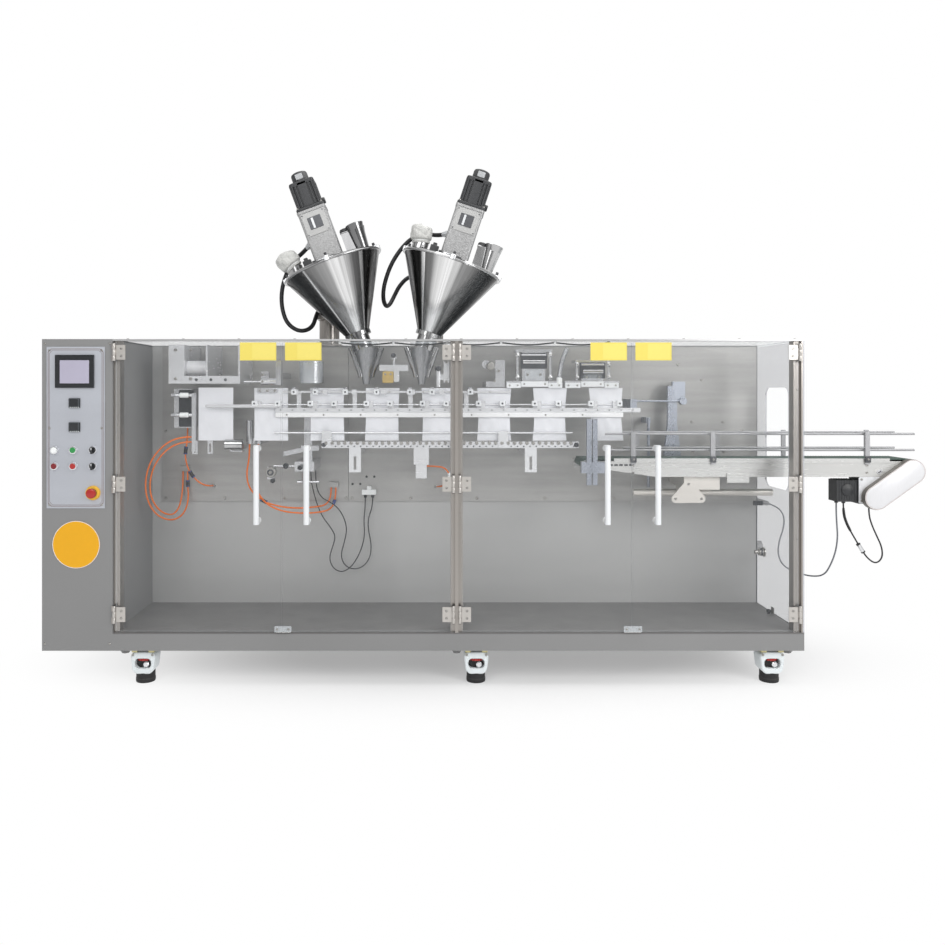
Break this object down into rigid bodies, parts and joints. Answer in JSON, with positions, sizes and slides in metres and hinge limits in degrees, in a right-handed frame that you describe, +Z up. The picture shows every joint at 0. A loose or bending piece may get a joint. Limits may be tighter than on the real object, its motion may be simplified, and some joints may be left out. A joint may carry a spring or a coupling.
{
  "type": "horizontal form fill seal machine",
  "caption": "Glazed packaging machine cabinet on levelling casters with tilted powder hoppers, hinged clear doors, an inner pouch line and an outfeed conveyor.",
  "frame": {"origin": "on the floor under the middle of the machine's bounding box", "axes": "+X from the control cabinet to the outfeed conveyor, +Y from the doors to the rear housing, +Z up"},
  "size_m": [3.839, 1.05, 2.2713],
  "materials": {
    "cabinet_paint": "satin grey",
    "floor_paint": "satin dark grey",
    "wall_steel": "brushed",
    "post_steel": "brushed",
    "clear_acrylic": "clear acrylic",
    "side_acrylic": "tinted acrylic",
    "door_hardware": "satin leaves, white handle tubes",
    "panel_plate": "satin",
    "screen": "black bezel",
    "controls": "mixed buttons, red stop cap",
    "badge_yellow": "plain yellow",
    "caster_white": "white housing",
    "caster_dark": "black pad, red adjuster",
    "polished_steel": "mirror polished stainless",
    "bag_cloth": "white filter cloth",
    "drive_grey": "hammered grey box, black motor",
    "column_steel": "brushed",
    "rail_steel": "bright satin",
    "station_steel": "machined",
    "pouch_film": "white film",
    "conveyor_steel": "bright brushed",
    "belt_green": "dark green belt",
    "hose_black": "black ribbed hose",
    "cord_black": "black sheath",
    "cord_grey": "grey sheath",
    "hose_orange": "orange air hose",
    "motor_black": "black motor"
  },
  "bodies": {
    "machine": {"base_frame": "cabinet_paint", "control_cabinet": "cabinet_paint", "drive_housing": "cabinet_paint", "interior_floor": "floor_paint", "back_plates": "wall_steel", "door_posts": "post_steel", "top_rail": "post_steel", "top_cover": "clear_acrylic", "side_panel": "side_acrylic", "control_panel": "panel_plate", "touch_screen": "screen", "panel_controls": "controls", "round_badge": "badge_yellow", "caster_housings": "caster_white", "caster_feet": "caster_dark", "hopper_1": "polished_steel", "hopper_2": "polished_steel", "hopper_lids": "polished_steel", "discharge_heads": "polished_steel", "inlet_bags": "bag_cloth", "hopper_drives": "drive_grey", "hopper_columns": "column_steel", "pouch_rail": "rail_steel", "roller_rail": "rail_steel", "rail_supports": "rail_steel", "pouch_clamps": "rail_steel", "filling_bridge": "rail_steel", "film_unwind": "rail_steel", "pouch_former": "station_steel", "opening_station": "station_steel", "lower_station": "station_steel", "sealing_heads": "station_steel", "lever_linkage": "station_steel", "pouches": "pouch_film", "conveyor_frame": "conveyor_steel", "conveyor_guides": "conveyor_steel", "chain_guard": "conveyor_steel", "conveyor_support": "conveyor_steel", "conveyor_belt": "belt_green", "hopper_hose_1": "hose_black", "hopper_hose_2": "hose_black", "motor_lead": "cord_black", "sensor_cable_1": "cord_black", "sensor_cable_2": "cord_black", "machine_cable": "cord_grey", "air_hose_1": "hose_orange", "air_hose_2": "hose_orange", "air_hose_3": "hose_orange", "air_hose_4": "hose_orange", "air_hose_5": "hose_orange", "air_hose_6": "hose_orange", "conveyor_motor": "motor_black"},
    "door_1": {"door_1_panel": "clear_acrylic", "door_1_fittings": "door_hardware"},
    "door_2": {"door_2_panel": "clear_acrylic", "door_2_fittings": "door_hardware"},
    "door_3": {"door_3_panel": "clear_acrylic", "door_3_fittings": "door_hardware"},
    "door_4": {"door_4_panel": "clear_acrylic", "door_4_fittings": "door_hardware"}
  },
  "joints": [
    {"name": "door_1_hinge", "type": "hinge", "parent": "machine", "child": "door_1", "pos_m": [-1.6115, -0.481, 0.85], "axis": [0, 0, -1], "range_deg": [0, 100]},
    {"name": "door_2_hinge", "type": "hinge", "parent": "machine", "child": "door_2", "pos_m": [-0.1705, -0.481, 0.85], "axis": [0, 0, 1], "range_deg": [0, 85]},
    {"name": "door_3_hinge", "type": "hinge", "parent": "machine", "child": "door_3", "pos_m": [-0.143, -0.481, 0.85], "axis": [0, 0, -1], "range_deg": [0, 85]},
    {"name": "door_4_hinge", "type": "hinge", "parent": "machine", "child": "door_4", "pos_m": [1.3015, -0.481, 0.85], "axis": [0, 0, 1], "range_deg": [0, 100]}
  ]
}
